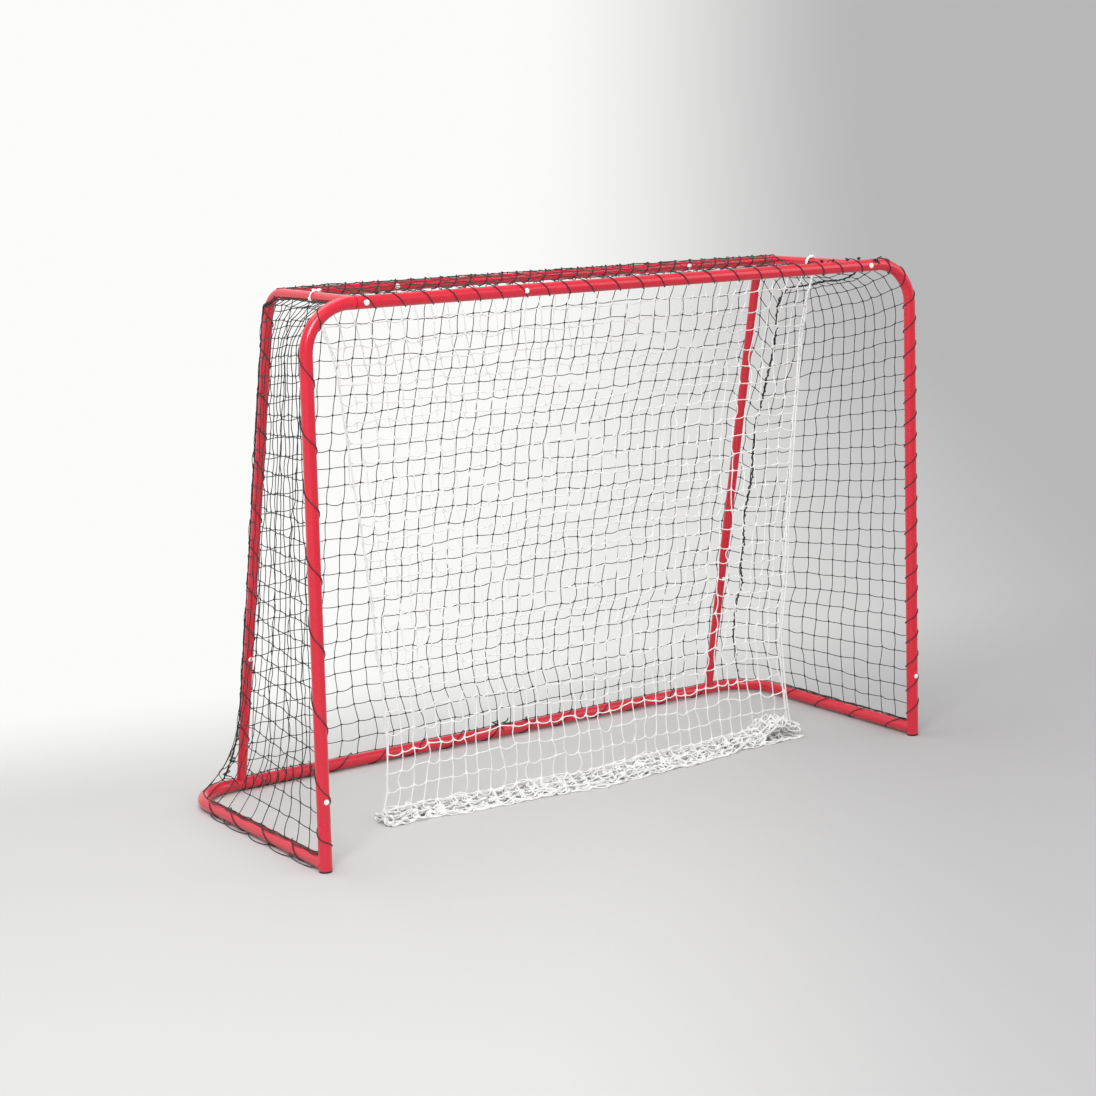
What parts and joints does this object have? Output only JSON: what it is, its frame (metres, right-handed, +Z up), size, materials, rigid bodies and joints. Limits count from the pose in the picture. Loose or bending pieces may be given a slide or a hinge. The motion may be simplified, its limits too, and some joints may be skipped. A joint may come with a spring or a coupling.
{
  "type": "floorball goal",
  "caption": "Floorball goal with a rounded red tube frame, laced black nets on the top, back and sides, and a hanging white drop net inside",
  "frame": {"origin": "on the floor, at the centre of the goal's bounding box", "axes": "+X along the goal line to the right seen from the field, +Y from the mouth to the back, +Z up"},
  "size_m": [1.6652, 0.6918, 1.1869],
  "materials": {
    "red_steel": "glossy powder coat",
    "black_net": "knotted twine",
    "black_lace": "twisted cord",
    "white_net": "soft knotted twine",
    "white_plastic": "moulded",
    "black_plastic": "moulded",
    "zinc_steel": "zinc plated"
  },
  "bodies": {
    "frame": {"post_left": "red_steel", "post_right": "red_steel", "crossbar": "red_steel", "base_side_left": "red_steel", "base_side_right": "red_steel", "base_rear_bar": "red_steel", "support_left": "red_steel", "support_right": "red_steel", "rear_top_bar": "red_steel", "support_peg_left": "red_steel", "support_peg_right": "red_steel", "post_foot_left": "black_plastic", "post_foot_right": "black_plastic", "crossbar_bolt_left": "zinc_steel", "crossbar_bolt_right": "zinc_steel", "support_insert_left": "zinc_steel", "support_insert_right": "zinc_steel", "bolt_cap_left": "white_plastic", "bolt_cap_right": "white_plastic", "net_clip_post_left": "white_plastic", "net_clip_post_right": "white_plastic", "net_clip_crossbar": "white_plastic", "net_clip_rear_bar_left": "white_plastic", "net_clip_rear_bar_right": "white_plastic", "net_clip_support_left": "white_plastic", "net_clip_support_right": "white_plastic", "net_top": "black_net", "net_rear": "black_net", "net_left": "black_net", "net_right": "black_net", "net_seam_left": "black_lace", "net_seam_right": "black_lace", "crossbar_lacing": "black_lace", "post_lacing_left": "black_lace", "post_lacing_right": "black_lace", "base_lacing_left": "black_lace", "base_lacing_right": "black_lace", "base_lacing_rear": "black_lace", "rear_bar_lacing": "black_lace", "drop_net_cord": "white_net"},
    "drop_net": {"drop_net": "white_net"}
  },
  "joints": [
    {"name": "drop_net_swing", "type": "hinge", "parent": "frame", "child": "drop_net", "pos_m": [0, -0.12702, 1.1504], "axis": [1, 0, 0], "range_deg": [-25, 15]}
  ]
}
